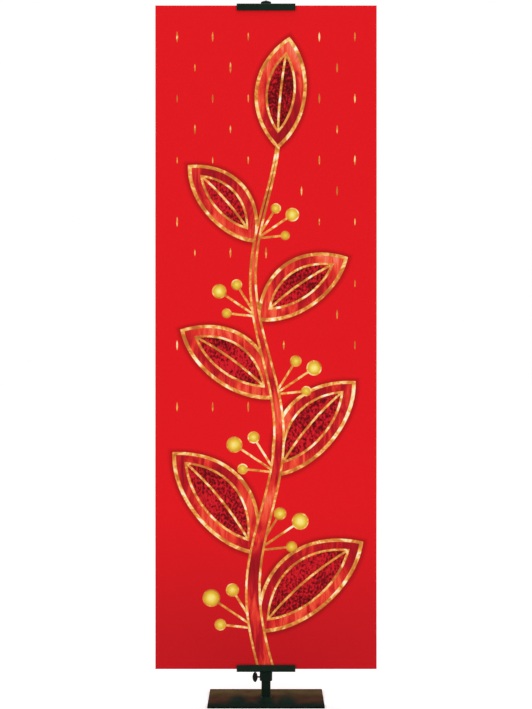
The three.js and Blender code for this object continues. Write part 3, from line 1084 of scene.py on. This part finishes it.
# Hem stitching. A lockstitch in red thread runs round the banner just inside the hems' folded
# edges, and shows as a row of short raised stitches on both faces.
STITCH_PITCH = 0.0034
STITCH_LENGTH = 0.0027
STITCH_WIDTH = 0.0005
STITCH_HEIGHT = 0.0004
STITCH_INSIDE = 0.0015

thread, tree, shader, point = new_material(
    "red_thread", Specular_IOR_Level=0.25, Sheen_Weight=0.1, Sheen_Roughness=0.4
)
TWIST = [(0.3, ink(168, 16, 24)), (0.7, ink(214, 30, 36))]
twist = noise(tree, point, 900.0, detail=1.0)
tree.links.new(ramped(tree, twist, TWIST), shader["Base Color"])
tree.links.new(ranged(tree, twist, 0.3, 0.7, 0.55, 0.7), shader["Roughness"])

seam_x = CLOTH_WIDTH / 2 - SIDE_HEM + STITCH_INSIDE
seam_low = cloth_low.z + END_HEM - STITCH_INSIDE
seam_high = cloth_high.z - END_HEM + STITCH_INSIDE
seams = [
    (Vector((-seam_x, 0, seam_low)), Vector((-seam_x, 0, seam_high))),
    (Vector((seam_x, 0, seam_low)), Vector((seam_x, 0, seam_high))),
    (Vector((-seam_x, 0, seam_low)), Vector((seam_x, 0, seam_low))),
    (Vector((-seam_x, 0, seam_high)), Vector((seam_x, 0, seam_high))),
]
stitches = bmesh.new()
for start, end in seams:
    count = int((end - start).length / STITCH_PITCH)
    step = (end - start) / count
    turn = Matrix.Rotation(math.atan2(step.x, step.z), 4, "Y")
    size = Matrix.Diagonal((STITCH_WIDTH / 2, STITCH_HEIGHT / 2, STITCH_LENGTH / 2, 1))
    for front in (True, False):
        row = bmesh.new()
        bmesh.ops.create_icosphere(
            row, subdivisions=1, radius=1.0, matrix=Matrix.Translation(start + step / 2) @ turn @ size
        )
        bmesh.ops.spin(
            row,
            geom=row.verts[:] + row.edges[:] + row.faces[:],
            cent=(0, 0, 0),
            axis=(0, 0, 1),
            dvec=step,
            angle=0.0,
            steps=count - 1,
            use_merge=False,
            use_duplicate=True,
        )
        for corner in row.verts:
            corner.co.y += cloth_face(corner.co.x, corner.co.z, front)
        row_data = bpy.data.meshes.new("stitch_row")
        row.to_mesh(row_data)
        row.free()
        stitches.from_mesh(row_data)
        bpy.data.meshes.remove(row_data)
hem_stitches = finished(stitches, "hem_stitches", [thread], "stand", "printed_cloth")


# Studio. A white floor, faintly lit from below, that runs out of sight, a wide soft light overhead
# and one to either side, and a camera that looks straight at the banner from its middle's height.
VIEW_HEIGHT = 0.957
VIEW_DISTANCE = 4.0
FRAME_HEIGHT = 1.9545  # what the picture's height takes in at the cloth
SENSOR = 36.0

floor_paint = bpy.data.materials.new("pale_floor")
floor_paint.use_nodes = True
floor_shader = floor_paint.node_tree.nodes["Principled BSDF"].inputs
floor_shader["Base Color"].default_value = (0.85, 0.85, 0.85, 1)
floor_shader["Emission Color"].default_value = (1, 1, 1, 1)
floor_shader["Emission Strength"].default_value = 0.2
floor_shader["Roughness"].default_value = 0.9
floor_shader["Specular IOR Level"].default_value = 0.05
floor_mesh = bmesh.new()
bmesh.ops.create_grid(floor_mesh, x_segments=1, y_segments=1, size=40.0)
floor_data = bpy.data.meshes.new("studio_floor")
floor_mesh.to_mesh(floor_data)
floor_mesh.free()
floor_data.materials.append(floor_paint)
floor = bpy.data.objects.new("studio_floor", floor_data)
bpy.context.scene.collection.objects.link(floor)


def soft_light(name, place, aim, size, power):
    """A square soft box at a place that faces a point."""
    data = bpy.data.lights.new(name, "AREA")
    data.shape = "SQUARE"
    data.size = size
    data.energy = power
    light = bpy.data.objects.new(name, data)
    light.location = place
    light.rotation_euler = (Vector(aim) - Vector(place)).to_track_quat("-Z", "Y").to_euler()
    bpy.context.scene.collection.objects.link(light)


soft_light("key_light", (-2.6, -4.2, 2.9), (0, 0, 1.0), 2.4, 20)
soft_light("fill_light", (3.0, -4.0, 1.8), (0, 0, 0.9), 2.4, 8)
soft_light("top_light", (0, 0.6, 4.6), (0, 0.4, 0), 4.0, 60)

world = bpy.data.worlds.new("studio_white")
world.use_nodes = True
bpy.context.scene.world = world
tree = world.node_tree
tree.nodes["Background"].inputs["Color"].default_value = (1, 1, 1, 1)
tree.nodes["Background"].inputs["Strength"].default_value = 1.0

camera_data = bpy.data.cameras.new("studio_camera")
camera_data.sensor_width = SENSOR
camera_data.lens = SENSOR * VIEW_DISTANCE / FRAME_HEIGHT
camera = bpy.data.objects.new("studio_camera", camera_data)
camera.location = (0, CLOTH_PLANE - VIEW_DISTANCE, VIEW_HEIGHT)
camera.rotation_euler = (math.pi / 2, 0, 0)
bpy.context.scene.collection.objects.link(camera)
bpy.context.scene.camera = camera
bpy.context.scene.view_settings.view_transform = "Standard"
bpy.context.scene.view_settings.look = "None"
